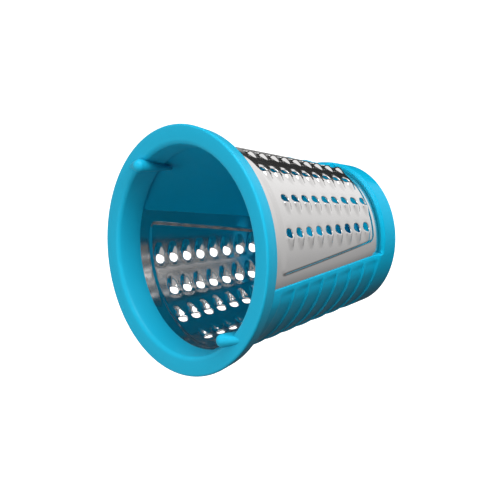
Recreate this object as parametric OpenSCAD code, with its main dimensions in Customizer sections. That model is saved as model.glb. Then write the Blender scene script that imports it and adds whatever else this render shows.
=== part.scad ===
// Grating drum of a rotary cheese grater.
// It stands on its small closed end, with its open end up; the drum's axis is +Z.
// +X is the azimuth zero that the window and wall angles are counted from.

/* [Drum] */
// Length from the rear face to the front face
drum_length = 91; // [75:1:120]
// Outer radius of the drum's cone at the rear face
rear_r = 29.6; // [24:0.1:38]
// Outer radius of the drum's cone at the front face
front_r = 46; // [38:0.1:58]
// Thickness of the moulded walls inside the sheets' slots
slot_wall = 0.5; // [0.4:0.1:2]
// Azimuth of the first side wall's middle
wall_azimuth = 123.3; // [0:0.1:360]

/* [Side walls] */
// Half width of a side wall at the rear face
wall_half_rear = 20; // [14:0.1:22]
// Half width of a side wall at the front face
wall_half_front = 24.8; // [18:0.1:30]
// Distance between the grip ribs
rib_pitch = 9.1; // [6:0.1:16]
// Depth of the grip ribs
rib_depth = 0.8; // [0.3:0.05:1.4]
// Width of a grip rib's crest
rib_crest = 0.5; // [0.2:0.1:1]
// Flat border between the ribs and the sheets
rib_border = 3; // [1:0.1:6]
// Distance from the front face to the first rib's crest
rib_start = 16.3; // [12:0.1:24]

/* [Front ring] */
// Distance that the flange stands out from the drum's cone at the front face
flange_overhang = 4.7; // [3:0.1:8]
// Width that the flange loses between its face and its back
flange_taper = 1.95; // [0:0.05:3]
// Thickness of the flange
flange_t = 6.8; // [4:0.1:12]
// Thickness of the ring's sleeve inside the sheets, at the front face
sleeve_t = 1.3; // [1:0.1:2.5]
// Height of the neck between the flange and the windows
neck_h = 2; // [1:0.1:4]
// Height of the frame's hoop that is held in the flange
hoop_h = 3; // [2:0.1:4]
// Rounding of the flange's outer lip
lip_r = 0.9; // [0.4:0.1:2]
// Rounding of the opening's lip
inner_lip_r = 2.2; // [0.4:0.1:3]
// Depth of the inner collar, from the front face
collar_depth = 10.5; // [8:0.1:16]
// Height of the drive lugs above the front face
lug_height = 4; // [2:0.1:8]
// Radius of the drive lugs
lug_r = 2.7; // [1.5:0.1:4]
// Distance that the lugs' middle lies inside the opening's edge
lug_inset = 0.9; // [0:0.1:2]
// Reach of the ramp from a lug across the flange's face
lug_ramp = 8; // [3:0.1:9]
// Angle between the ramp and the outward direction at the lug
lug_sweep = 57; // [0:1:60]
// Depth of the rib that runs from a lug down the inside of the collar
lug_rib = 8; // [4:0.1:10]

/* [Rear end] */
// Distance from the rear face to the ring's ridge
ridge_z = 7.9; // [5:0.1:12]
// Length of the chamfer in front of the ridge
ridge_chamfer = 1.2; // [0.5:0.1:2.5]
// Thickness of the end plate
plate_t = 2.4; // [1.6:0.1:4]
// Depth that the end plate is set in from the rear face
plate_inset = 1.5; // [0.5:0.1:3]
// Width of the ledge that the end plate is seated on
ledge_w = 1.2; // [0.8:0.1:2]

/* [Drive hub] */
// Radius of the drive bore
bore_r = 6; // [3:0.1:9]
// Depth of the drive bore
bore_depth = 16; // [8:0.5:24]
// Wall around the drive bore
hub_wall = 3; // [2:0.1:5]
// Width of the two drive slots
slot_w = 3; // [1.5:0.1:4]
// Depth of the drive slots in the bore's wall
slot_depth = 1.6; // [0.5:0.1:1.8]
// Width of the hub's flange
hub_flange_w = 4; // [2:0.1:8]
// Thickness of the hub's flange
hub_flange_t = 2; // [1:0.1:4]
// Thickness of the hub's closed nose
hub_nose_t = 2.5; // [1.5:0.1:5]

/* [Grater sheets] */
// Thickness of the steel
sheet_t = 0.5; // [0.3:0.05:1]
// Depth of the embossed panel
emboss = 0.9; // [0.4:0.05:1.4]
// Drop from the drum's cone to the panel at the rear face
panel_drop_rear = 1.4; // [1:0.05:1.6]
// Drop from the drum's cone to the panel at the front face
panel_drop_front = 0.7; // [0.5:0.05:1.4]
// Width of the flat strip between a side wall and the panel
strip_w = 3.4; // [2:0.1:6]
// Distance from the front face to the panel's front edge
panel_front = 15; // [13:0.1:24]
// Distance from the rear face to the panel's rear edge
panel_rear = 13; // [11.5:0.1:20]
// Width of the crease round the panel
crease_w = 0.8; // [0.5:0.05:1.2]
// Distance that a sheet's edges reach into their slots
tongue = 1.5; // [0.8:0.1:2.5]

/* [Teeth] */
// Rows of teeth on a sheet
tooth_rows = 4; // [2:1:5]
// Distance between the teeth of a row
tooth_pitch = 6.42; // [5.5:0.02:8]
// Angle between the rows
row_angle = 20; // [16:0.5:30]
// Distance from the front face to the first tooth of an odd row
tooth_front = 20.5; // [19:0.1:30]
// Distance that the even rows are set back
row_stagger = 2.8; // [0:0.1:3.2]
// Angle from the window's middle to the middle of the rows
row_offset = 3.7; // [-6:0.1:6]
// Radius of the tooth holes
hole_r = 2; // [1.2:0.05:2.5]
// Height of a tooth's cutting lip above the panel
lip_h = 1.3; // [0.6:0.05:2]
// Half width of a tooth's hood at its lip
hood_r = 2.3; // [1.8:0.05:2.8]
// Length of a tooth's hood, from the lip to its tail
hood_len = 4.4; // [3.5:0.1:6]

/* [Fits] */
// Gap all round between two fitted pieces
fit_gap = 0.1; // [0.05:0.01:0.3]

/* [Hidden] */
$fn = 96;
far = 4 * front_r;
turquoise = "#3eaacb";
steel = "#cfcdcc";

// The drum's cone and the sheets' two cones, as radius per unit of height
cone_slope = (front_r - rear_r) / drum_length;
panel_rear_r = rear_r - panel_drop_rear;
panel_slope = (front_r - panel_drop_front - panel_rear_r) / drum_length;

// Heights along the drum, from the rear face up
collar_z = drum_length - collar_depth;
flange_z = drum_length - flange_t;
window_top_z = flange_z - neck_h;
window_base_z = ridge_z + ridge_chamfer;
hoop_z = flange_z + hoop_h;
sheet_base_z = window_base_z - tongue;
sheet_top_z = window_top_z + tongue;
plate_z = plate_inset + plate_t;
hub_top_z = plate_inset + bore_depth + hub_nose_t;

flange_r = front_r + flange_overhang;
opening_r = sleeve_r(drum_length) - sleeve_t;
hub_r = bore_r + hub_wall;
hub_flange_r = hub_r + hub_flange_w;
slot_reach = bore_r + slot_depth;
seat_r = inner_r(plate_z) + ledge_w;
lug_centre_r = opening_r - lug_inset;

// Teeth in a row: as many as fit between the first tooth and the panel's rear crease
row_space = drum_length - panel_rear - tooth_front - row_stagger - hole_r - crease_w;
row_teeth = floor(row_space / tooth_pitch) + 1;

// Outer radius of the drum's cone at a height
function cone_r(z) = rear_r + cone_slope * z;
// Outer radius of the embossed panels at a height
function panel_r(z) = panel_rear_r + panel_slope * z;
// Outer radius of a sheet's flat strips at a height
function strip_r(z) = panel_r(z) - emboss;
// Radius of the front ring's sleeve, just inside the sheets, at a height
function sleeve_r(z) = strip_r(z) - sheet_t - fit_gap;
// Radius of the inside of the moulded walls at a height
function inner_r(z) = sleeve_r(z) - slot_wall;
// Points of an arc, for the rounded corners of revolved outlines
function arc(centre, r, from, to, steps = 6) =
    [for (i = [0:steps]) let (a = from + (to - from) * i / steps) centre + r * [cos(a), sin(a)]];

// A conical shell between two heights, its radii given as [outer, inner] at the base and the top
module shell(base_z, top_z, base, top) {
    rotate_extrude()
        polygon([[base[1], base_z], [base[0], base_z], [top[0], top_z], [top[1], top_z]]);
}

// A shell that follows the sheets' cone, from one distance above the strips to another
module sheet_shell(base_z, top_z, above, below) {
    shell(base_z, top_z,
        [strip_r(base_z) + above, strip_r(base_z) - below],
        [strip_r(top_z) + above, strip_r(top_z) - below]);
}

// The block through the drum that is as wide as the side walls, plus a margin at each side
module wall_block(margin) {
    rotate([0, 0, wall_azimuth])
        rotate([90, 0, 90])
            linear_extrude(height = far, center = true)
                polygon([
                    [-wall_half_rear - margin, 0],
                    [wall_half_rear + margin, 0],
                    [wall_half_front + margin, drum_length],
                    [-wall_half_front - margin, drum_length]
                ]);
}

// The half of space on one window's side of the drum
module window_side(window) {
    rotate([0, 0, wall_azimuth - 90 + 180 * window])
        translate([0, -far / 2, 0])
            cube([far, far, drum_length]);
}

// All heights between two, as a block
module heights(base_z, top_z) {
    translate([-far / 2, -far / 2, base_z]) cube([far, far, top_z - base_z]);
}

// The slots and grooves that the sheets' edges lie in
module sheet_seats() {
    difference() {
        sheet_shell(sheet_base_z - fit_gap, sheet_top_z + fit_gap, fit_gap, sheet_t + fit_gap);
        wall_block(-tongue - fit_gap);
    }
}

// A low peg with a round tip, with a ramp across the face and a rib down the collar
module lug() {
    base_z = drum_length - lug_height;
    translate([lug_centre_r, 0, base_z]) cylinder(r = lug_r, h = 2 * lug_height - lug_r);
    translate([lug_centre_r, 0, drum_length + lug_height - lug_r]) sphere(r = lug_r);
    hull($fn = 32) {
        translate([lug_centre_r, 0, drum_length + lug_height - lug_r - 1]) sphere(r = lug_r - 0.2);
        translate([lug_centre_r, 0, drum_length - 1.2])
            rotate([0, 0, lug_sweep]) translate([lug_ramp, 0, 0]) sphere(r = 1.2);
        translate([lug_centre_r, 0, base_z]) cylinder(r = lug_r - 0.2, h = 1);
        translate([lug_centre_r, 0, drum_length - lug_rib]) sphere(r = 1);
    }
}

module front_ring() {
    outer_r = flange_r - lip_r;
    back_r = flange_r - flange_taper - lip_r;
    groove_z = hoop_z + fit_gap;
    // the lugs' ribs stay out of the frame's room up to a little above its hoop
    clear_z = groove_z + 4 * fit_gap;
    color(turquoise) {
        rotate_extrude() polygon(concat(
            [
                [opening_r - cone_slope * collar_depth, collar_z],
                [sleeve_r(collar_z), collar_z],
                [sleeve_r(groove_z), groove_z],
                [cone_r(groove_z) + fit_gap, groove_z],
                [cone_r(flange_z) + fit_gap, flange_z]
            ],
            arc([back_r, flange_z + lip_r], lip_r, -90, 0),
            arc([outer_r, drum_length - lip_r], lip_r, 0, 90),
            arc([opening_r + inner_lip_r, drum_length - inner_lip_r], inner_lip_r, 90, 180)
        ));
        difference() {
            for (turn = [0, 180]) rotate([0, 0, wall_azimuth + turn]) lug();
            shell(0, clear_z,
                [far, sleeve_r(0) - sleeve_t / 2],
                [far, sleeve_r(clear_z) - sleeve_t / 2]);
        }
    }
}

// Saw-tooth cuts round the drum: each leaves a crest in front that falls away to the rear
module rib_cuts() {
    count = floor((drum_length - rib_start - ridge_z) / rib_pitch);
    for (i = [0:count - 1]) {
        crest_z = drum_length - rib_start - i * rib_pitch;
        foot_z = crest_z - rib_pitch + rib_crest;
        rotate_extrude() polygon([
            [cone_r(crest_z) + rib_depth / 4, crest_z],
            [cone_r(foot_z) - rib_depth, foot_z],
            [front_r + 1, foot_z],
            [front_r + 1, crest_z]
        ]);
    }
}

// The windows between the side walls, with the chamfer of the ring behind them
module window_cuts() {
    difference() {
        rotate_extrude() polygon([
            [0, window_base_z],
            [strip_r(window_base_z) + 1, window_base_z],
            [cone_r(ridge_z) + 1, ridge_z - 1],
            [far, ridge_z - 1],
            [far, window_top_z],
            [0, window_top_z]
        ]);
        wall_block(0);
    }
}

module drum_frame() {
    color(turquoise) difference() {
        shell(0, hoop_z, [rear_r, inner_r(0)], [cone_r(hoop_z), inner_r(hoop_z)]);
        window_cuts();
        intersection() {
            rib_cuts();
            wall_block(-rib_border);
        }
        sheet_seats();
        // room for the front ring's sleeve
        shell(collar_z - fit_gap, hoop_z + 1,
            [sleeve_r(collar_z) + fit_gap, 1],
            [sleeve_r(hoop_z + 1) + fit_gap, 1]);
        // the end plate's seat
        translate([0, 0, -1]) cylinder(r = seat_r, h = plate_z + 1);
    }
}

// The part of space that a sheet's embossed panel lies in, made smaller by a margin all round
module panel_space(window, margin) {
    intersection() {
        window_side(window);
        difference() {
            heights(panel_rear + margin, drum_length - panel_front - margin);
            wall_block(strip_w + margin);
        }
    }
}

// Puts its children at every tooth of a sheet, X outwards and Y round the drum
module at_teeth(window, back) {
    for (row = [0:tooth_rows - 1]) {
        for (i = [0:row_teeth - 1]) {
            z = drum_length - tooth_front - (row % 2) * row_stagger - i * tooth_pitch;
            middle = wall_azimuth - 90 + 180 * window + row_offset;
            angle = middle + (row - (tooth_rows - 1) / 2) * row_angle - back / panel_r(z) * 180 / PI;
            rotate([0, 0, angle])
                translate([panel_r(z), 0, z])
                    rotate([0, atan(panel_slope), 0])
                        children();
        }
    }
}

// A tooth's hood, as a cone that lies along the sheet; smaller by a wall for its hollow
module hood(wall) {
    translate([lip_h - hood_r, hood_len / 2, 0])
        rotate([90, 0, 0])
            cylinder(r1 = hood_r - wall, r2 = hood_r - lip_h + 0.2 - wall / 2, h = hood_len - wall, $fn = 32);
}

module grater_sheet(window) {
    hood_back = hole_r / 2 + hood_len / 2;
    color(steel) difference() {
        union() {
            // the flat strips round the panel
            difference() {
                intersection() {
                    sheet_shell(sheet_base_z, sheet_top_z, 0, sheet_t);
                    window_side(window);
                }
                wall_block(-tongue);
                panel_space(window, crease_w);
            }
            // the crease round the panel
            intersection() {
                sheet_shell(sheet_base_z, sheet_top_z, emboss, sheet_t);
                difference() {
                    panel_space(window, 0);
                    panel_space(window, crease_w);
                }
            }
            // the panel
            intersection() {
                sheet_shell(sheet_base_z, sheet_top_z, emboss, sheet_t - emboss);
                panel_space(window, 0);
            }
            // the hoods
            difference() {
                at_teeth(window, hood_back) hood(0);
                shell(0, drum_length, [panel_r(0) - sheet_t / 2, 0],
                    [panel_r(drum_length) - sheet_t / 2, 0]);
            }
        }
        at_teeth(window, hood_back) hood(sheet_t);
        at_teeth(window, 0) rotate([0, 90, 0]) cylinder(r = hole_r, h = 4 * lip_h, center = true);
    }
}

module grater_sheet_a() { grater_sheet(0); }

module grater_sheet_b() { grater_sheet(1); }

module end_plate() {
    color(turquoise) difference() {
        translate([0, 0, plate_inset]) cylinder(r = seat_r - fit_gap, h = plate_t);
        cylinder(r = hub_r + fit_gap, h = far, center = true);
    }
}

module drive_hub() {
    color(turquoise) difference() {
        union() {
            translate([0, 0, plate_inset]) cylinder(r = hub_r, h = hub_top_z - plate_inset);
            translate([0, 0, plate_z]) cylinder(r = hub_flange_r, h = hub_flange_t);
        }
        translate([0, 0, plate_inset - 1]) {
            cylinder(r = bore_r, h = bore_depth + 1);
            translate([-slot_reach, -slot_w / 2, 0]) cube([2 * slot_reach, slot_w, bore_depth + 1]);
        }
    }
}

front_ring();
drum_frame();
grater_sheet_a();
grater_sheet_b();
end_plate();
drive_hub();
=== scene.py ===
"""Looks of a rotary grater's drum: turquoise moulded frame and two stamped steel sheets.

The drum stands on its small closed end. Sizes are in millimetres until a mesh is finished.
"""
import math

import bmesh
import bpy
from mathutils import Matrix, Vector


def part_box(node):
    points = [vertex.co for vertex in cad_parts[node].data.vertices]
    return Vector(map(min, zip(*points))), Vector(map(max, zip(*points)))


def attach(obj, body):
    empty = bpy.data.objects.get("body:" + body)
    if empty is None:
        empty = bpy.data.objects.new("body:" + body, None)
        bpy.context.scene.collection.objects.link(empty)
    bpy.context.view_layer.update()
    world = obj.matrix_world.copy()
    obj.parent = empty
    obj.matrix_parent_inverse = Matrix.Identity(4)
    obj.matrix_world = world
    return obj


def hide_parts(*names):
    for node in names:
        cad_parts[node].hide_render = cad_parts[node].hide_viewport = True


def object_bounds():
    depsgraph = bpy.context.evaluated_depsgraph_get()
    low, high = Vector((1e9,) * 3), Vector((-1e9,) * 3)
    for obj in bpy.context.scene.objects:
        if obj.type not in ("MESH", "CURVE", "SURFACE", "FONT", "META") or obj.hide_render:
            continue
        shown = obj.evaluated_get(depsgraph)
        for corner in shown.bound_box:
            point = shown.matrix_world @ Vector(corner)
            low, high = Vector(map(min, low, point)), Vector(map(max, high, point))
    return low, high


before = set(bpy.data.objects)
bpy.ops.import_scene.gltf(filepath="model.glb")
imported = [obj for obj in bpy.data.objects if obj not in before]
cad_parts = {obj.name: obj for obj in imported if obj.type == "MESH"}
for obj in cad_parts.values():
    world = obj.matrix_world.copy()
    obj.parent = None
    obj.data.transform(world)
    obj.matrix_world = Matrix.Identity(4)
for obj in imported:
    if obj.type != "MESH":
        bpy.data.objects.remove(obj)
cad_low, cad_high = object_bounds()

MM = 0.001
TURN = 2 * math.pi

# Sizes of the drum, as the design has them
LUG_H = 4.0                                      # drive lugs, above the front face
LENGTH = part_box("front_ring")[1].z / MM - LUG_H  # rear face to front face
FLANGE_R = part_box("front_ring")[1].x / MM
HOOP_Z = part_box("drum_frame")[1].z / MM          # top of the frame, inside the flange
REAR_R = 29.6
FRONT_R = 46.0
SLOT_WALL = 0.5
WALL_HALF_REAR = 20.0
WALL_HALF_FRONT = 24.8
WALL_AZIMUTH = math.radians(123.3)
FIT_GAP = 0.1

FLANGE_T = 6.8
FLANGE_TAPER = 1.95
OPENING_R = 42.5
COLLAR_DEPTH = 10.5
NECK_H = 2.0
LIP_R = 2.2
RIDGE_Z = 7.9
CHAMFER = 1.2
LEDGE_W = 1.2

RIB_START = 16.3
RIB_PITCH = 9.1
RIB_DEPTH = 0.8
RIB_BORDER = 3.0
SHOULDER_W = 8.0              # width that the walls round off over, beside the sheets
SHOULDER_STEP = 0.5           # height of the walls' edge above the sheets' strips

SHEET_T = 0.5
EMBOSS = 0.9
PANEL_DROP_REAR = 1.4
PANEL_DROP_FRONT = 0.7
STRIP_W = 3.4
CREASE_W = 2.0                # width of the crease along the panel's sides
END_CREASE_W = 2.6            # and across its ends
PANEL_FRONT = 15.0
PANEL_REAR = 13.0
PANEL_CORNER_R = 3.5
TONGUE = 1.5

TOOTH_ROWS = 4
ROW_TEETH = 9
TOOTH_PITCH = 6.42
TOOTH_FRONT = 20.5
ROW_ANGLE = math.radians(20)
ROW_OFFSET = math.radians(3.7)
HOLE_R = 2.0
LIP_H = 1.15
HOOD_LEN = 4.4

FLANGE_Z = LENGTH - FLANGE_T
WINDOW_TOP = FLANGE_Z - NECK_H
WINDOW_BASE = RIDGE_Z + CHAMFER


def cone_r(z):
    """Outer radius of the drum's moulded cone at a height."""
    return REAR_R + (FRONT_R - REAR_R) * z / LENGTH


def panel_r(z):
    """Outer radius of the sheets' raised panels at a height."""
    rear = REAR_R - PANEL_DROP_REAR
    return rear + (FRONT_R - PANEL_DROP_FRONT - rear) * z / LENGTH


def strip_r(z):
    """Outer radius of the flat strips round the panels at a height."""
    return panel_r(z) - EMBOSS


def inner_r(z):
    """Radius of the inside of the moulded walls at a height."""
    return strip_r(z) - SHEET_T - FIT_GAP - SLOT_WALL


def wall_half(z):
    """Half the width of a side wall at a height."""
    return WALL_HALF_REAR + (WALL_HALF_FRONT - WALL_HALF_REAR) * z / LENGTH


def smooth(t):
    """0 below 0, 1 above 1, and an even S between them."""
    t = min(max(t, 0.0), 1.0)
    return t * t * (3 - 2 * t)


# What the steel mirrors is a painted reflection in the floor: a brightness by the angle round a point on
# the floor, which stands for a room's light and dark sides
SWEEP_CENTRE = 26.0
PAINTED_REFLECTION_SWEEP = [
    (-180, 0.10), (-70, 0.10), (-48, 0.33), (-28, 0.39), (-4, 0.50), (36, 0.68), (87, 0.88),
    (100, 0.88), (104, 0.01), (129, 0.01), (136, 0.25), (180, 0.12),
]


# Shapes -----------------------------------------------------------------------------------------

def rounded(corners, steps=6):
    """The closed outline through corners (r, z, fillet), with each fillet as an arc."""
    points = []
    for i, (r, z, fillet) in enumerate(corners):
        here = Vector((r, z))
        to_last = (Vector(corners[i - 1][:2]) - here).normalized()
        to_next = (Vector(corners[(i + 1) % len(corners)][:2]) - here).normalized()
        if not fillet:
            points.append(here)
            continue
        half = to_last.angle(to_next) / 2
        centre = here + (to_last + to_next).normalized() * fillet / math.sin(half)
        first = here + to_last * fillet / math.tan(half) - centre
        last = here + to_next * fillet / math.tan(half) - centre
        turn = first.angle_signed(last)
        for k in range(steps + 1):
            angle = -turn * k / steps
            points.append(centre + Matrix.Rotation(angle, 2) @ first)
    return points


def spaced(points, gap):
    """The same closed outline, with its long sides divided into steps of about a gap."""
    out = []
    for a, b in zip(points, points[1:] + points[:1]):
        count = max(1, round((b - a).length / gap))
        out += [a.lerp(b, k / count) for k in range(count)]
    return out


def lathe(outline, steps):
    """A closed outline in (r, z), turned once round the drum's axis."""
    bm = bmesh.new()
    verts = [bm.verts.new((r, 0, z)) for r, z in outline]
    edges = [bm.edges.new(pair) for pair in zip(verts, verts[1:] + verts[:1])]
    bmesh.ops.spin(bm, geom=verts + edges, cent=(0, 0, 0), axis=(0, 0, 1),
                   angle=TURN, steps=steps, use_merge=True, use_duplicate=False)
    return bm


SHARP_ANGLE = math.radians(38)


def finish_piece(name, bm, material, node, closed=True):
    """Makes a piece of a bmesh in millimetres, and lets it stand for a node of the design."""
    bmesh.ops.remove_doubles(bm, verts=bm.verts, dist=1e-4)
    if closed:
        bmesh.ops.recalc_face_normals(bm, faces=bm.faces)
    bmesh.ops.scale(bm, vec=(MM, MM, MM), verts=bm.verts)
    mesh = bpy.data.meshes.new(name)
    bm.to_mesh(mesh)
    bm.free()
    mesh.shade_smooth()
    mesh.set_sharp_from_angle(angle=SHARP_ANGLE)
    mesh.materials.append(material)
    piece = bpy.data.objects.new(name, mesh)
    bpy.context.scene.collection.objects.link(piece)
    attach(piece, "root")
    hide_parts(node)
    return piece


def add_bevel(piece, width):
    """Rounds a piece's sharp edges, to a width in millimetres."""
    bevel = piece.modifiers.new("rounded_edges", "BEVEL")
    bevel.width = width * MM
    bevel.segments = 2
    bevel.limit_method = "ANGLE"
    bevel.angle_limit = math.radians(40)
    bevel.harden_normals = False


# Front ring: flange, collar and drive lugs --------------------------------------------------------

LUG_R = 2.7
LUG_CENTRE = OPENING_R - 0.9
LUG_SWEEP = math.radians(57)   # the ramp's direction, from straight outwards
LUG_RAMP = 8.0                 # how far the ramp reaches across the flange's face
LUG_RIB = 14.0                 # how far the rib reaches down inside the drum
RAMP_R = 1.2                   # rounding of the ramp's end, level with the flange's face
RIB_TIP_R = 0.7
LUG_SHARP_ANGLE = math.radians(30)


def add_ball(bm, r, across, z, radius):
    """A ball at a distance from the axis and across from the lug's own azimuth."""
    moved = bmesh.ops.create_uvsphere(bm, u_segments=40, v_segments=24, radius=radius)
    bmesh.ops.translate(bm, vec=(r, across, z), verts=moved["verts"])


def make_lug(turn):
    """One drive lug: a rounded peg with a ramp across the face and a rib down the collar."""
    bm = bmesh.new()
    ramp_r = LUG_CENTRE + LUG_RAMP * math.cos(LUG_SWEEP)
    across = LUG_RAMP * math.sin(LUG_SWEEP)
    add_ball(bm, LUG_CENTRE, 0, LENGTH + LUG_H - LUG_R, LUG_R)
    add_ball(bm, LUG_CENTRE + 0.2, 0, LENGTH - RAMP_R, LUG_R - 0.3)
    add_ball(bm, ramp_r, across, LENGTH - RAMP_R, RAMP_R)
    add_ball(bm, inner_r(LENGTH - LUG_RIB) - 1.5, 0, LENGTH - LUG_RIB, RIB_TIP_R)
    bmesh.ops.delete(bm, geom=list(bm.edges) + list(bm.faces), context="EDGES_FACES")
    bmesh.ops.convex_hull(bm, input=list(bm.verts))
    bmesh.ops.delete(bm, geom=[v for v in bm.verts if not v.link_faces], context="VERTS")
    bmesh.ops.rotate(bm, cent=(0, 0, 0), verts=bm.verts,
                     matrix=Matrix.Rotation(WALL_AZIMUTH + turn, 3, "Z"))
    return bm


def unite(piece, bm, operation):
    """Joins a shape in millimetres to a piece, or takes it away, for good."""
    bmesh.ops.recalc_face_normals(bm, faces=bm.faces)
    bmesh.ops.scale(bm, vec=(MM, MM, MM), verts=bm.verts)
    mesh = bpy.data.meshes.new("tool_shape")
    bm.to_mesh(mesh)
    bm.free()
    mesh.shade_smooth()
    tool = bpy.data.objects.new("tool_shape", mesh)
    bpy.context.scene.collection.objects.link(tool)
    step = piece.modifiers.new("tool_step", "BOOLEAN")
    step.operation = operation
    step.solver = "EXACT"
    step.object = tool
    view = bpy.context.evaluated_depsgraph_get()
    piece.data = bpy.data.meshes.new_from_object(piece.evaluated_get(view))
    piece.modifiers.clear()
    bpy.data.objects.remove(tool)


def make_front_ring(material):
    collar_z = LENGTH - COLLAR_DEPTH
    groove_z = HOOP_Z + FIT_GAP
    slope = (FRONT_R - REAR_R) / LENGTH
    outline = rounded([
        (OPENING_R - slope * COLLAR_DEPTH, collar_z, 0.3),
        (OPENING_R, LENGTH, LIP_R),
        (FLANGE_R, LENGTH, 0.9),
        (FLANGE_R - FLANGE_TAPER, FLANGE_Z, 0.9),
        (cone_r(FLANGE_Z) + FIT_GAP, FLANGE_Z, 0.3),
        (cone_r(groove_z) + FIT_GAP, groove_z, 0),
        (strip_r(groove_z) - SHEET_T - FIT_GAP, groove_z, 0),
        (strip_r(collar_z) - SHEET_T - FIT_GAP, collar_z, 0.2),
    ], steps=8)
    bm = lathe(spaced(outline, 3), 256)
    piece = finish_piece("front_ring_moulding", bm, material, "front_ring")
    for turn in (0, math.pi):
        unite(piece, make_lug(turn), "UNION")
    piece.data.set_sharp_from_angle(angle=LUG_SHARP_ANGLE)


# Drum frame: side walls, rear ring and hoop -------------------------------------------------------

WALL_COLUMNS = 60
WINDOW_COLUMNS = 40
EDGE_ROUNDING = 0.22
SEAT_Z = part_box("end_plate")[1].z / MM


def rib_drop(z):
    """How far the saw-tooth grip ribs drop below the cone at a height."""
    last = math.floor((LENGTH - RIB_START - RIDGE_Z) / RIB_PITCH)
    place = (LENGTH - RIB_START - z) / RIB_PITCH
    if not 0 <= place < last:
        return 0.0
    step = place % 1
    rise = smooth((step - 0.955) / 0.045)
    return RIB_DEPTH * (smooth(step / 0.16) * 0.25 + 0.75 * step) * (1 - rise)


def wall_drop(edge, z):
    """How far a side wall's outside drops below the cone, edge millimetres from its side."""
    ribs = rib_drop(z) * smooth((edge - 1.0) / RIB_BORDER)
    reach = math.sin(min(edge / SHOULDER_W, 1) * math.pi / 2)
    ends = smooth((z - WINDOW_BASE) / 4) * smooth((WINDOW_TOP - z) / 4)
    shoulder = (cone_r(z) - strip_r(z) - SHOULDER_STEP) * (1 - reach) * ends
    return ribs + shoulder


def frame_rows():
    """Heights of the frame's rows of vertices, close together over the ribs."""
    stretches = [(0, SEAT_Z, 6), (SEAT_Z, RIDGE_Z, 6), (RIDGE_Z, WINDOW_BASE, 3),
                 (WINDOW_BASE, WINDOW_TOP, 200), (WINDOW_TOP, HOOP_Z, 8)]
    rows = [0.0]
    for low, high, count in stretches:
        rows += [low + (high - low) * k / count for k in range(1, count + 1)]
    return rows


def make_drum_frame(material):
    rows = frame_rows()
    columns = 2 * (WALL_COLUMNS + WINDOW_COLUMNS)
    bm = bmesh.new()
    bmesh.ops.create_grid(bm, x_segments=columns, y_segments=len(rows) - 1, size=0.5)
    where = {}
    for v in bm.verts:
        where[v] = (round((v.co.x + 0.5) * columns), round((v.co.y + 0.5) * (len(rows) - 1)))
    holes = []
    for face in bm.faces:
        column = min(where[v][0] for v in face.verts) % (columns // 2)
        low = rows[min(where[v][1] for v in face.verts)]
        if column >= WALL_COLUMNS and WINDOW_BASE - 1e-6 < low < WINDOW_TOP - 1e-6:
            holes.append(face)
    for v, (column, row) in where.items():
        z = rows[row]
        half, step = divmod(column, columns // 2)
        edge = math.asin(wall_half(z) / cone_r(z))
        if step <= WALL_COLUMNS:
            side = math.sin((step / WALL_COLUMNS - 0.5) * math.pi)
            azimuth = edge * (0.5 * side + step / WALL_COLUMNS - 0.5)
            inside = (edge - abs(azimuth)) * cone_r(z)
            r = cone_r(z) - wall_drop(inside, z)
        else:
            share = (step - WALL_COLUMNS) / WINDOW_COLUMNS
            azimuth = edge + (math.pi - 2 * edge) * share
            low = strip_r(WINDOW_BASE) + 1
            chamfer = smooth((z - RIDGE_Z) / CHAMFER) if z < LENGTH / 2 else 0
            r = cone_r(z) + (low - cone_r(z)) * chamfer * (z <= WINDOW_BASE + 1e-6)
        azimuth += WALL_AZIMUTH + half * math.pi
        v.co = (r * math.cos(azimuth), r * math.sin(azimuth), z)
    bmesh.ops.delete(bm, geom=holes, context="FACES")
    bmesh.ops.remove_doubles(bm, verts=bm.verts, dist=1e-4)
    # the inside: a copy of the outside, moved in to a smooth wall
    grown = bmesh.ops.extrude_face_region(bm, geom=list(bm.faces), use_keep_orig=True)
    for v in [g for g in grown["geom"] if isinstance(g, bmesh.types.BMVert)]:
        z = v.co.z
        r = inner_r(z)
        if z < SEAT_Z - 0.3:
            r = inner_r(SEAT_Z) + LEDGE_W
        if z > LENGTH - COLLAR_DEPTH:
            r = strip_r(z) - SHEET_T
        azimuth = math.atan2(v.co.y, v.co.x)
        v.co = (r * math.cos(azimuth), r * math.sin(azimuth), z)
    piece = finish_piece("drum_frame_moulding", bm, material, "drum_frame")
    add_bevel(piece, EDGE_ROUNDING)


# Grater sheets ------------------------------------------------------------------------------------

BLOCK = 8                     # steps from a tooth's middle to the edge of its own square
CELL = TOOTH_PITCH / (2 * BLOCK)
HOLE_STEPS = 5                # steps from a tooth's middle to its hole's edge
STAGGER = 7                   # steps that the even rows are set back
HOOD_STEPS = 9
GAP_STEPS = 5
TOOTH_STEPS = 2 * BLOCK       # steps from one tooth of a row to the next
SIDE_STEPS = 36
FRONT_STEPS = 25
REAR_STEPS = 14
SHEET_TOP = WINDOW_TOP + TONGUE
SHEET_BASE = WINDOW_BASE - TONGUE
HOOD_BACK = HOLE_R + HOOD_LEN + 0.4


def sheet_columns():
    """What each column of a sheet's mesh follows: a side edge, a gap, or a row of teeth."""
    columns = [("low_side", 0, k / SIDE_STEPS) for k in range(SIDE_STEPS)]
    for row in range(TOOTH_ROWS):
        if row:
            columns += [("gap", row, k / GAP_STEPS) for k in range(1, GAP_STEPS)]
        near = -BLOCK * CELL
        columns += [("row", row, -HOOD_BACK + (near + HOOD_BACK) * k / HOOD_STEPS)
                    for k in range(HOOD_STEPS)]
        columns += [("row", row, k * CELL) for k in range(-BLOCK, BLOCK + 1)]
    columns += [("high_side", 0, k / SIDE_STEPS) for k in range(1, SIDE_STEPS + 1)]
    return columns


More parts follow.
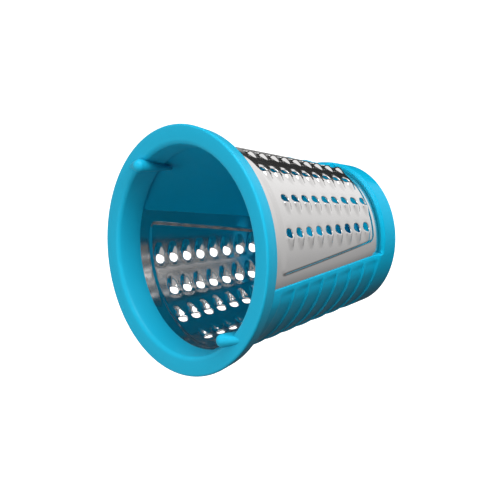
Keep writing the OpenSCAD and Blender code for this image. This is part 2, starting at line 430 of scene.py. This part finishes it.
def sheet_rows():
    """Heights of the rows of a sheet's mesh, from its front edge to its rear edge."""
    first = LENGTH - TOOTH_FRONT + BLOCK * CELL
    last = first - (TOOTH_STEPS * ROW_TEETH + STAGGER) * CELL
    rows = [SHEET_TOP + (first - SHEET_TOP) * k / FRONT_STEPS for k in range(FRONT_STEPS)]
    rows += [first - k * CELL for k in range(TOOTH_STEPS * ROW_TEETH + STAGGER)]
    rows += [last + (SHEET_BASE - last) * k / REAR_STEPS for k in range(REAR_STEPS + 1)]
    return rows


def row_azimuth(row):
    """A row of teeth's angle from the middle of its window."""
    return ROW_OFFSET + (row - (TOOTH_ROWS - 1) / 2) * ROW_ANGLE


def side_azimuth(z):
    """The angle from the middle of a window to a sheet's hidden side edge."""
    return math.pi / 2 - math.asin((wall_half(z) - TONGUE) / strip_r(z))


def column_azimuth(column, z):
    """A column's angle from the middle of the window, at a height."""
    kind, row, value = column
    r = panel_r(z)
    first = row_azimuth(0) - HOOD_BACK / r
    last = row_azimuth(TOOTH_ROWS - 1) + BLOCK * CELL / r
    edge = side_azimuth(z)
    if kind == "low_side":
        return -edge + (min(first, edge) + edge) * value
    if kind == "high_side":
        return last + (edge - last) * value
    if kind == "gap":
        low = row_azimuth(row - 1) + BLOCK * CELL / r
        high = row_azimuth(row) - HOOD_BACK / r
        return low + (high - low) * value
    return row_azimuth(row) + value / r


def emboss_at(azimuth, z):
    """How far the pressed panel stands above the strips round it."""
    r = panel_r(z)
    side = (r * math.cos(azimuth) - wall_half(z) - STRIP_W) / max(abs(math.sin(azimuth)), 0.4)
    end = min(LENGTH - PANEL_FRONT - z, z - PANEL_REAR)
    if side < PANEL_CORNER_R and end < PANEL_CORNER_R:
        depth = PANEL_CORNER_R - math.hypot(PANEL_CORNER_R - side, PANEL_CORNER_R - end)
    else:
        depth = min(side, end)
    crease = CREASE_W if side < end else END_CREASE_W
    return EMBOSS * smooth(depth / crease)


def hood_rise(x, y):
    """How far a tooth lifts the sheet, x along the drum and y round it from the hole's middle."""
    along = (y + HOOD_BACK) / HOOD_LEN
    if along <= 0 or abs(x) > 3.2:
        return 0.0
    width = 1.15 + 1.25 * min(along, 1.0) ** 0.8
    across = max(0.0, 1 - (x / width) ** 2) ** 1.25
    ramp = 0.45 * smooth(along) + 0.55 * min(along, 1.0)
    lip = 1 - smooth((y + 1.85) / 1.6)
    return LIP_H * ramp * lip * across


def hole_dip(x, y):
    """How far the far edge of a tooth's hole is pressed inwards."""
    return 0.22 * math.exp(-((y - HOLE_R) / 0.9) ** 2 - (x / 1.7) ** 2)


def round_off(x, y):
    """Turns the squares round a tooth's middle into circles, fading to squares at its block."""
    square = max(abs(x), abs(y))
    if square < 1e-9:
        return x, y
    steps = square / CELL
    radius = steps * HOLE_R / HOLE_STEPS
    distance = math.hypot(x, y)
    share = smooth((steps - HOLE_STEPS) / (BLOCK - HOLE_STEPS)) if steps > HOLE_STEPS else 0
    scale = share + (1 - share) * radius / distance
    return x * scale, y * scale


def tooth_near(column, row_index):
    """A vertex's steps along the drum from the middle of the tooth it belongs to, or None."""
    kind, row, _ = column
    if kind != "row":
        return None
    steps = row_index - FRONT_STEPS - BLOCK - STAGGER * (row % 2)
    tooth = min(max(round(steps / TOOTH_STEPS), 0), ROW_TEETH - 1)
    away = steps - TOOTH_STEPS * tooth
    return away if abs(away) <= BLOCK else None


def make_sheet(name, node, window, material):
    columns, rows = sheet_columns(), sheet_rows()
    wide, high = len(columns) - 1, len(rows) - 1
    middle = WALL_AZIMUTH - math.pi / 2 + window * math.pi
    bm = bmesh.new()
    bmesh.ops.create_grid(bm, x_segments=wide, y_segments=high, size=0.5)
    in_hole = {}
    for v in bm.verts:
        column = columns[round((v.co.x + 0.5) * wide)]
        row_index = round((v.co.y + 0.5) * high)
        z = rows[row_index]
        lift = 0.0
        away = tooth_near(column, row_index)
        in_hole[v] = False
        if away is None:
            azimuth = column_azimuth(column, z)
        else:
            x, y = -away * CELL, column[2]
            if abs(y) <= BLOCK * CELL + 1e-6:
                in_hole[v] = max(abs(x), abs(y)) < (HOLE_STEPS + 0.5) * CELL
                x, y = round_off(x, y)
            z += x + away * CELL
            azimuth = row_azimuth(column[1]) + y / panel_r(z)
            lift = hood_rise(x, y) - hole_dip(x, y)
        r = strip_r(z) + emboss_at(azimuth, z) + lift
        azimuth += middle
        v.co = (r * math.cos(azimuth), r * math.sin(azimuth), z)
    holes = [f for f in bm.faces if all(in_hole[v] for v in f.verts)]
    bmesh.ops.delete(bm, geom=holes, context="FACES")
    face = next(iter(bm.faces))
    bm.normal_update()
    if face.normal.dot(face.calc_center_median() * Vector((1, 1, 0))) < 0:
        bmesh.ops.reverse_faces(bm, faces=bm.faces)
    piece = finish_piece(name, bm, material, node, closed=False)
    sheet = piece.modifiers.new("steel_thickness", "SOLIDIFY")
    sheet.thickness = SHEET_T * MM
    sheet.offset = -1


# Closed end: end plate and drive hub --------------------------------------------------------------

HUB_R = 9.0
HUB_BORE_R = 6.0
HUB_BORE_DEPTH = 16.0
SLOT_W = 3.0
SLOT_REACH = 7.6
HUB_FLANGE_T = 2.0
PLATE_RECESS = 0.7            # depth of the shallow ring-shaped recess in the plate's outside
AXIS_R = 0.01                 # where the hub's closed nose meets the axis


def make_end_plate(material):
    low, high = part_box("end_plate")
    base, top, rim = low.z / MM, high.z / MM, high.x / MM
    bore = HUB_R + FIT_GAP
    outline = rounded([
        (bore, top, 0.2), (bore, base, 0.3), (HUB_R + 3.5, base, 0.3),
        (HUB_R + 4.5, base + PLATE_RECESS, 0.5),
        (rim - 3.5, base + PLATE_RECESS, 0.5), (rim - 2.5, base, 0.3), (rim, base, 0.3), (rim, top, 0.2),
    ], steps=4)
    bm = lathe(outline, 128)
    finish_piece("end_plate_moulding", bm, material, "end_plate")


def make_drive_hub(material):
    low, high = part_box("drive_hub")
    base, top, flange = low.z / MM, high.z / MM, high.x / MM
    bore_top = base + HUB_BORE_DEPTH
    outline = rounded([
        (HUB_BORE_R, base, 0.4), (HUB_R, base, 0.3), (HUB_R, SEAT_Z, 0), (flange, SEAT_Z, 0.2),
        (flange, SEAT_Z + HUB_FLANGE_T, 0.6), (HUB_R, SEAT_Z + HUB_FLANGE_T, 0.8), (HUB_R, top, 1.5),
        (AXIS_R, top, 0), (AXIS_R, bore_top, 0), (HUB_BORE_R, bore_top, 0.5),
    ], steps=5)
    bm = lathe(outline, 96)
    piece = finish_piece("drive_hub_moulding", bm, material, "drive_hub")
    key = bmesh.new()
    bmesh.ops.create_cube(key, size=1)
    bmesh.ops.scale(key, vec=(2 * SLOT_REACH, SLOT_W, 2 * HUB_BORE_DEPTH), verts=key.verts)
    bmesh.ops.translate(key, vec=(0, 0, base), verts=key.verts)
    unite(piece, key, "DIFFERENCE")


# Materials ----------------------------------------------------------------------------------------

def link(tree, source, target):
    tree.links.new(source, target)


def mould_grain_group():
    """Fine moulded grain: a height for bump, and a slow mottle for colour and roughness."""
    group = bpy.data.node_groups.new("mould_grain", "ShaderNodeTree")
    for name, kind, way in (("Coordinates", "NodeSocketVector", "INPUT"),
                            ("Grain Scale", "NodeSocketFloat", "INPUT"),
                            ("Height", "NodeSocketFloat", "OUTPUT"),
                            ("Mottle", "NodeSocketFloat", "OUTPUT")):
        group.interface.new_socket(name, in_out=way, socket_type=kind)
    nodes = group.nodes
    enter, leave = nodes.new("NodeGroupInput"), nodes.new("NodeGroupOutput")
    grain = nodes.new("ShaderNodeTexNoise")
    grain.inputs["Detail"].default_value = 2
    mottle = nodes.new("ShaderNodeTexNoise")
    mottle.inputs["Scale"].default_value = 38
    mottle.inputs["Detail"].default_value = 4
    link(group, enter.outputs["Coordinates"], grain.inputs["Vector"])
    link(group, enter.outputs["Grain Scale"], grain.inputs["Scale"])
    link(group, enter.outputs["Coordinates"], mottle.inputs["Vector"])
    link(group, grain.outputs["Fac"], leave.inputs["Height"])
    link(group, mottle.outputs["Fac"], leave.inputs["Mottle"])
    return group


def map_range(tree, source, low, high, to_low, to_high):
    """A value moved from one range to another."""
    node = tree.nodes.new("ShaderNodeMapRange")
    node.inputs["From Min"].default_value = low
    node.inputs["From Max"].default_value = high
    node.inputs["To Min"].default_value = to_low
    node.inputs["To Max"].default_value = to_high
    link(tree, source, node.inputs["Value"])
    return node.outputs["Result"]


def colour_between(tree, factor, first, second):
    """A colour that goes from the first to the second with a factor."""
    node = tree.nodes.new("ShaderNodeMix")
    node.data_type = "RGBA"
    link(tree, factor, node.inputs["Factor"])
    node.inputs["A"].default_value = (*first, 1)
    node.inputs["B"].default_value = (*second, 1)
    return node.outputs["Result"]


def turquoise_plastic(name, grain, colour, roughness):
    """Moulded turquoise plastic with a fine satin grain."""
    material = bpy.data.materials.new(name)
    material.use_nodes = True
    tree = material.node_tree
    shader = tree.nodes["Principled BSDF"]
    place = tree.nodes.new("ShaderNodeTexCoord")
    effect = tree.nodes.new("ShaderNodeGroup")
    effect.node_tree = grain
    effect.inputs["Grain Scale"].default_value = 2600
    link(tree, place.outputs["Object"], effect.inputs["Coordinates"])
    deep = tuple(0.93 * c for c in colour)
    link(tree, colour_between(tree, effect.outputs["Mottle"], deep, colour), shader.inputs["Base Color"])
    spread = map_range(tree, effect.outputs["Mottle"], 0.3, 0.7, roughness - 0.04, roughness + 0.05)
    link(tree, spread, shader.inputs["Roughness"])
    bump = tree.nodes.new("ShaderNodeBump")
    bump.inputs["Strength"].default_value = 0.12
    bump.inputs["Distance"].default_value = 0.00002
    link(tree, effect.outputs["Height"], bump.inputs["Height"])
    link(tree, bump.outputs["Normal"], shader.inputs["Normal"])
    shader.inputs["Specular IOR Level"].default_value = 0.22
    return material


def grater_steel():
    """Bright rolled stainless steel, with faint rolling lines and handling marks."""
    material = bpy.data.materials.new("bright_rolled_steel")
    material.use_nodes = True
    tree = material.node_tree
    shader = tree.nodes["Principled BSDF"]
    shader.inputs["Metallic"].default_value = 1
    place = tree.nodes.new("ShaderNodeTexCoord")
    stretch = tree.nodes.new("ShaderNodeMapping")
    stretch.inputs["Scale"].default_value = (1, 1, 14)
    link(tree, place.outputs["Object"], stretch.inputs["Vector"])
    lines = tree.nodes.new("ShaderNodeTexNoise")
    lines.inputs["Scale"].default_value = 180
    lines.inputs["Detail"].default_value = 5
    link(tree, stretch.outputs["Vector"], lines.inputs["Vector"])
    marks = tree.nodes.new("ShaderNodeTexNoise")
    marks.inputs["Scale"].default_value = 55
    marks.inputs["Detail"].default_value = 6
    link(tree, place.outputs["Object"], marks.inputs["Vector"])
    tint = colour_between(tree, marks.outputs["Fac"], (0.60, 0.59, 0.585), (0.66, 0.65, 0.645))
    link(tree, tint, shader.inputs["Base Color"])
    rough = map_range(tree, marks.outputs["Fac"], 0.3, 0.7, 0.10, 0.17)
    link(tree, rough, shader.inputs["Roughness"])
    bump = tree.nodes.new("ShaderNodeBump")
    bump.inputs["Strength"].default_value = 0.05
    bump.inputs["Distance"].default_value = 0.00001
    link(tree, lines.outputs["Fac"], bump.inputs["Height"])
    link(tree, bump.outputs["Normal"], shader.inputs["Normal"])
    return material


def floor_material():
    """A floor that the camera sees as plain white, with no shadow, by its own light.

    Its base colour is dark, so it throws next to no light back. Mirror-like surfaces see a painted
    reflection in it instead, a sweep of brightness with a dark band, which stands for the light and dark
    sides of a room.
    """
    material = bpy.data.materials.new("white_floor_with_painted_reflection")
    material.use_nodes = True
    tree = material.node_tree
    shader = tree.nodes["Principled BSDF"]
    shader.inputs["Base Color"].default_value = (0.03, 0.03, 0.03, 1)
    shader.inputs["Specular IOR Level"].default_value = 0
    shader.inputs["Roughness"].default_value = 0.9
    place = tree.nodes.new("ShaderNodeTexCoord")
    centre = tree.nodes.new("ShaderNodeMapping")
    centre.inputs["Location"].default_value = (-SWEEP_CENTRE * MM, 0, 0)
    link(tree, place.outputs["Object"], centre.inputs["Vector"])
    sweep = tree.nodes.new("ShaderNodeTexGradient")
    sweep.gradient_type = "RADIAL"
    link(tree, centre.outputs["Vector"], sweep.inputs["Vector"])
    # the painted reflection: a sweep of light and dark that only glossy rays see in the floor
    ramp = tree.nodes.new("ShaderNodeValToRGB")
    link(tree, sweep.outputs["Fac"], ramp.inputs["Fac"])
    stops = ramp.color_ramp.elements
    while len(stops) < len(PAINTED_REFLECTION_SWEEP):
        stops.new(0.5)
    for stop, (degrees, level) in zip(stops, PAINTED_REFLECTION_SWEEP):
        stop.position = degrees / 360 + 0.5
        stop.color = (level, level, level, 1)
    rays = tree.nodes.new("ShaderNodeLightPath")
    seen = colour_between(tree, rays.outputs["Is Camera Ray"], (0, 0, 0), (1, 1, 1))
    mirrored = tree.nodes.new("ShaderNodeMix")
    mirrored.data_type = "RGBA"
    link(tree, rays.outputs["Is Glossy Ray"], mirrored.inputs["Factor"])
    link(tree, seen, mirrored.inputs["A"])
    link(tree, ramp.outputs["Color"], mirrored.inputs["B"])
    link(tree, mirrored.outputs["Result"], shader.inputs["Emission Color"])
    shader.inputs["Emission Strength"].default_value = 1.4
    return material


# Stage --------------------------------------------------------------------------------------------

FLOOR_HALF = 4.0              # metres, from the drum to the floor's edges

# The camera: metres and degrees, round a point near the open end
CAMERA_LENS = 122.6
CAMERA_ELEVATION = math.radians(41.09)
CAMERA_AZIMUTH = math.radians(4.17)
CAMERA_DISTANCE = 0.66
CAMERA_TARGET = Vector((0.0342, -0.0010, LENGTH * MM - 0.0066))
CAMERA_UP = Vector((0, 0.9965, -0.0831))


def make_floor():
    bm = bmesh.new()
    bmesh.ops.create_grid(bm, x_segments=1, y_segments=1, size=FLOOR_HALF)
    mesh = bpy.data.meshes.new("floor")
    bm.to_mesh(mesh)
    bm.free()
    mesh.materials.append(floor_material())
    floor = bpy.data.objects.new("floor", mesh)
    bpy.context.scene.collection.objects.link(floor)


def aim(obj, place, target, up):
    """Puts an object at a place, looking at a target, with a direction that is up in its view."""
    back = (place - target).normalized()
    right = up.cross(back).normalized()
    matrix = Matrix((right, back.cross(right), back)).transposed().to_4x4()
    matrix.translation = place
    obj.matrix_world = matrix


def add_light(name, direction, distance, size, power, mirrored=True):
    """A soft square light that looks at the middle of the drum; the steel may leave it out."""
    data = bpy.data.lights.new(name, "AREA")
    data.shape = "SQUARE"
    data.size = size
    data.energy = power
    light = bpy.data.objects.new(name, data)
    light.visible_glossy = mirrored
    bpy.context.scene.collection.objects.link(light)
    middle = (cad_low + cad_high) / 2
    aim(light, middle + Vector(direction).normalized() * distance, middle, Vector((0, 0.1, 1)))


def light_room():
    """A dim white room, brighter in reflections than in the light it gives, and three soft lights."""
    world = bpy.data.worlds.new("white_room")
    bpy.context.scene.world = world
    world.use_nodes = True
    tree = world.node_tree
    rays = tree.nodes.new("ShaderNodeLightPath")
    sky = map_range(tree, rays.outputs["Is Glossy Ray"], 0, 1, 0.14, 0.6)
    link(tree, sky, tree.nodes["Background"].inputs["Strength"])
    tree.nodes["Background"].inputs["Color"].default_value = (1, 1, 1, 1)
    add_light("key_softbox", (0.5, 1.0, 0.25), 0.9, 0.7, 6)
    add_light("face_softbox", (-0.1, -0.1, 1.0), 1.0, 0.8, 8.6, mirrored=False)
    add_light("side_fill", (1.0, 0.7, 0.1), 1.0, 0.45, 14, mirrored=False)


def place_camera():
    data = bpy.data.cameras.new("camera")
    data.sensor_width = 36
    data.lens = CAMERA_LENS
    camera = bpy.data.objects.new("camera", data)
    bpy.context.scene.collection.objects.link(camera)
    level = math.cos(CAMERA_ELEVATION)
    back = Vector((level * math.cos(CAMERA_AZIMUTH), level * math.sin(CAMERA_AZIMUTH),
                   math.sin(CAMERA_ELEVATION)))
    aim(camera, CAMERA_TARGET + CAMERA_DISTANCE * back, CAMERA_TARGET, CAMERA_UP)
    bpy.context.scene.camera = camera
    bpy.context.scene.view_settings.view_transform = "Standard"


place_camera()
grain = mould_grain_group()
ring_plastic = turquoise_plastic("ring_plastic", grain, (0.008, 0.345, 0.53), 0.4)
frame_plastic = turquoise_plastic("frame_plastic", grain, (0.001, 0.355, 0.56), 0.4)
hub_plastic = turquoise_plastic("hub_plastic", grain, (0.003, 0.31, 0.54), 0.45)
steel = grater_steel()
make_front_ring(ring_plastic)
make_drum_frame(frame_plastic)
make_sheet("grater_sheet_a_stamping", "grater_sheet_a", 0, steel)
make_sheet("grater_sheet_b_stamping", "grater_sheet_b", 1, steel)
make_end_plate(frame_plastic)
make_drive_hub(hub_plastic)
make_floor()
light_room()
